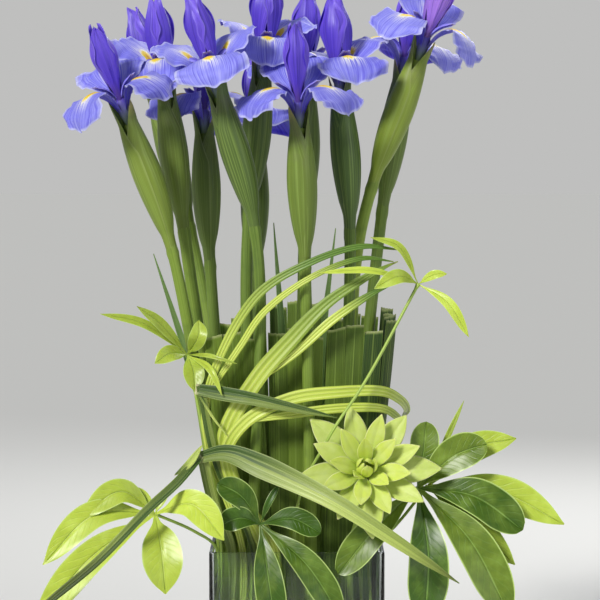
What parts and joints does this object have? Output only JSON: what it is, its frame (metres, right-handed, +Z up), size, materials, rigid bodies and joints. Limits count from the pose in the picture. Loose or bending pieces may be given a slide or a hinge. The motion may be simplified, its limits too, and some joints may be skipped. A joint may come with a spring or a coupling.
{
  "type": "irises in a vase",
  "caption": "Cut blue irises standing in water in a square glass vase, with cut flax blades, looped lily grass, schefflera sprays and a succulent rosette at the rim.",
  "frame": {"origin": "centre of the underside of the vase, on the surface it stands on", "axes": "+Z up along the stems, -Y to the front of the arrangement with the rosette, +X to the right seen from the front"},
  "size_m": [0.4557, 0.3007, 0.6598],
  "materials": {
    "vase_glass": "polished",
    "water": "polished",
    "iris_stem": "satin",
    "iris_petal": "matte",
    "iris_leaf": "satin",
    "flax_blade": "satin",
    "flax_dark": "satin",
    "grass": "satin",
    "leaf_light": "gloss",
    "leaf_dark": "gloss",
    "rosette_leaf": "matte"
  },
  "bodies": {
    "root": {"vase": "vase_glass", "water": "water", "rosette": "rosette_leaf", "lily_grass_top": "grass", "lily_grass_middle": "grass", "lily_grass_low": "grass", "flax_leaf_low": "grass", "flax_leaf_high": "flax_dark", "schefflera_upper_left": "leaf_light", "schefflera_upper_right": "leaf_light", "schefflera_lower_left": "leaf_light", "schefflera_right_back": "leaf_light", "schefflera_middle": "leaf_dark", "schefflera_right": "leaf_dark", "iris_01_stem": "iris_stem", "iris_01_bloom": "iris_petal", "iris_02_stem": "iris_stem", "iris_02_bloom": "iris_petal", "iris_03_stem": "iris_stem", "iris_03_bloom": "iris_petal", "iris_04_stem": "iris_stem", "iris_04_bloom": "iris_petal", "iris_05_stem": "iris_stem", "iris_05_bloom": "iris_petal", "iris_06_stem": "iris_stem", "iris_06_bloom": "iris_petal", "iris_07_stem": "iris_stem", "iris_07_bloom": "iris_petal", "iris_08_stem": "iris_stem", "iris_08_bloom": "iris_petal", "iris_09_stem": "iris_stem", "iris_09_bloom": "iris_petal", "iris_10_stem": "iris_stem", "iris_10_bloom": "iris_petal", "iris_11_stem": "iris_stem", "iris_11_bloom": "iris_petal", "iris_12_stem": "iris_stem", "iris_12_bloom": "iris_petal", "flax_front_left": "flax_blade", "flax_front_middle": "flax_blade", "flax_front_right": "flax_blade", "flax_right_front": "flax_blade", "flax_right_middle": "flax_blade", "flax_right_back": "flax_blade", "flax_back_right": "flax_blade", "flax_back_middle": "flax_blade", "flax_back_left": "flax_blade", "flax_left_back": "flax_blade", "iris_leaf_left": "iris_leaf", "iris_leaf_middle": "iris_leaf", "iris_leaf_right": "iris_leaf"}
  },
  "joints": []
}
